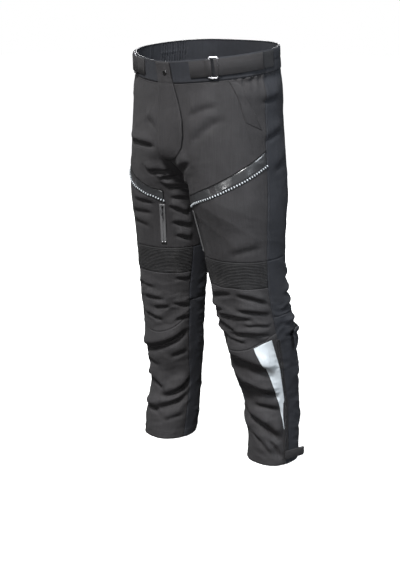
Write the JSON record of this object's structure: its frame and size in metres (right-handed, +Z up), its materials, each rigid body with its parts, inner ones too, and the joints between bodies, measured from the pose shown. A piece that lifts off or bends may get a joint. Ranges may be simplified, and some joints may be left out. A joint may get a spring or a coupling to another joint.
{
  "type": "motorcycle riding trousers",
  "caption": "Worn-shape riding trousers with fly flap, waist adjuster straps, stretch knee bands, padded knees, thigh and calf zips, reflective piping and shin wedges.",
  "frame": {"origin": "centre of the waist opening, level with its front edge", "axes": "+Z up the body, the wearer faces -Y, the wearer's left is +X"},
  "size_m": [0.4275, 0.2909, 0.9827],
  "materials": {
    "shell_charcoal": "plain-woven laminated polyester, matt charcoal",
    "shell_dark": "plain-woven stretch cloth, bluish black",
    "stretch_rib": "horizontally ribbed stretch cloth",
    "gloss_coating": "cloth with a glossy polyurethane coat",
    "reflective_silver": "retro-reflective silver cloth",
    "zip_tape": "coated zip tape with a coil, shiny grey",
    "zip_metal": "black enamelled zinc slider",
    "bright_metal": "bright plated steel",
    "hook_loop": "black loop tape",
    "webbing": "charcoal cloth strap",
    "foam": "soft protector foam",
    "mesh": "black mesh lining"
  },
  "bodies": {
    "trousers_upper": {"waistband_front_left": "shell_charcoal", "waistband_front_right": "shell_charcoal", "waistband_back": "shell_dark", "front_thigh_left": "shell_charcoal", "side_panel_left": "shell_dark", "seat_left": "shell_dark", "lining_upper_left": "mesh", "gloss_panel_left": "gloss_coating", "thigh_piping_left": "reflective_silver", "pocket_welt_left": "shell_charcoal", "thigh_zip_left": "zip_tape", "strap_anchor_left": "webbing", "strap_ring_left": "bright_metal", "loop_patch_left": "hook_loop", "knee_band_left": "stretch_rib", "knee_gusset_left": "stretch_rib", "front_thigh_right": "shell_charcoal", "side_panel_right": "shell_dark", "seat_right": "shell_dark", "lining_upper_right": "mesh", "gloss_panel_right": "gloss_coating", "thigh_piping_right": "reflective_silver", "pocket_welt_right": "shell_charcoal", "thigh_zip_right": "zip_tape", "strap_anchor_right": "webbing", "strap_ring_right": "bright_metal", "loop_patch_right": "hook_loop", "knee_band_right": "stretch_rib", "knee_gusset_right": "stretch_rib", "fly_zip": "zip_tape", "snap_stud": "bright_metal"},
    "fly_flap": {"fly_flap": "shell_charcoal", "snap_cap": "bright_metal"},
    "fly_slider": {"fly_slider": "zip_metal"},
    "shin_left": {"knee_panel_left": "shell_charcoal", "knee_armour_left": "foam", "shin_panel_left": "shell_charcoal", "calf_panel_left": "shell_dark", "lining_lower_left": "mesh", "reflective_wedge_left": "reflective_silver", "calf_zip_left": "zip_tape", "calf_tab_left": "shell_dark"},
    "thigh_slider_left": {"thigh_slider_left": "zip_metal"},
    "thigh_pull_left": {"thigh_pull_left": "zip_metal"},
    "waist_strap_left": {"waist_strap_left": "webbing"},
    "calf_slider_left": {"calf_slider_left": "zip_metal"},
    "hem_strap_left": {"hem_strap_left": "webbing"},
    "shin_right": {"knee_panel_right": "shell_charcoal", "knee_armour_right": "foam", "shin_panel_right": "shell_charcoal", "calf_panel_right": "shell_dark", "lining_lower_right": "mesh", "reflective_wedge_right": "reflective_silver", "calf_zip_right": "zip_tape", "calf_tab_right": "shell_dark"},
    "thigh_slider_right": {"thigh_slider_right": "zip_metal"},
    "thigh_pull_right": {"thigh_pull_right": "zip_metal"},
    "waist_strap_right": {"waist_strap_right": "webbing"},
    "calf_slider_right": {"calf_slider_right": "zip_metal"},
    "hem_strap_right": {"hem_strap_right": "webbing"}
  },
  "joints": [
    {"name": "knee_left", "type": "hinge", "parent": "trousers_upper", "child": "shin_left", "pos_m": [0.121, 0.024, -0.525], "axis": [1, 0, 0], "range_deg": [0, 70], "deforming": ["knee_band_left", "knee_gusset_left"]},
    {"name": "knee_right", "type": "hinge", "parent": "trousers_upper", "child": "shin_right", "pos_m": [-0.1105, 0.005, -0.525], "axis": [1, 0, 0], "range_deg": [0, 70], "deforming": ["knee_band_right", "knee_gusset_right"]},
    {"name": "fly_flap_hinge", "type": "hinge", "parent": "trousers_upper", "child": "fly_flap", "pos_m": [-0.02683, -0.13584, -0.09011], "axis": [0, 0, -1], "range_deg": [0, 65]},
    {"name": "fly_zip_slide", "type": "slide", "parent": "trousers_upper", "child": "fly_slider", "axis": [0.0001, -0.0367, -0.9993], "range_m": [0, 0.125]},
    {"name": "thigh_zip_slide_left", "type": "slide", "parent": "trousers_upper", "child": "thigh_slider_left", "axis": [0.1297, 0.2286, -0.9649], "range_m": [0, 0.083]},
    {"name": "thigh_pull_hinge_left", "type": "hinge", "parent": "thigh_slider_left", "child": "thigh_pull_left", "pos_m": [0.04902, -0.10505, -0.33344], "axis": [-0.8409, 0.5412, 0], "range_deg": [0, 150]},
    {"name": "waist_strap_hinge_left", "type": "hinge", "parent": "trousers_upper", "child": "waist_strap_left", "pos_m": [0.12999, -0.10207, -0.00887], "axis": [0.0484, 0.0746, -0.996], "range_deg": [0, 100]},
    {"name": "hem_strap_hinge_left", "type": "hinge", "parent": "shin_left", "child": "hem_strap_left", "pos_m": [0.20832, 0.05445, -0.92152], "axis": [0, 0, -1], "range_deg": [0, 60]},
    {"name": "calf_zip_slide_left", "type": "slide", "parent": "shin_left", "child": "calf_slider_left", "axis": [-0.0328, 0.0011, 0.9995], "range_m": [0, 0.1]},
    {"name": "thigh_zip_slide_right", "type": "slide", "parent": "trousers_upper", "child": "thigh_slider_right", "axis": [-0.0986, 0.1527, -0.9833], "range_m": [0, 0.083]},
    {"name": "thigh_pull_hinge_right", "type": "hinge", "parent": "thigh_slider_right", "child": "thigh_pull_right", "pos_m": [-0.04728, -0.09916, -0.33279], "axis": [-0.8409, -0.5412, 0], "range_deg": [0, 150]},
    {"name": "waist_strap_hinge_right", "type": "hinge", "parent": "trousers_upper", "child": "waist_strap_right", "pos_m": [-0.12999, -0.10207, -0.00887], "axis": [0.0484, -0.0746, 0.996], "range_deg": [0, 100]},
    {"name": "hem_strap_hinge_right", "type": "hinge", "parent": "shin_right", "child": "hem_strap_right", "pos_m": [-0.18807, -0.02116, -0.90439], "axis": [0, 0, 1], "range_deg": [0, 60]},
    {"name": "calf_zip_slide_right", "type": "slide", "parent": "shin_right", "child": "calf_slider_right", "axis": [0.044, 0.1283, 0.9908], "range_m": [0, 0.1]}
  ]
}
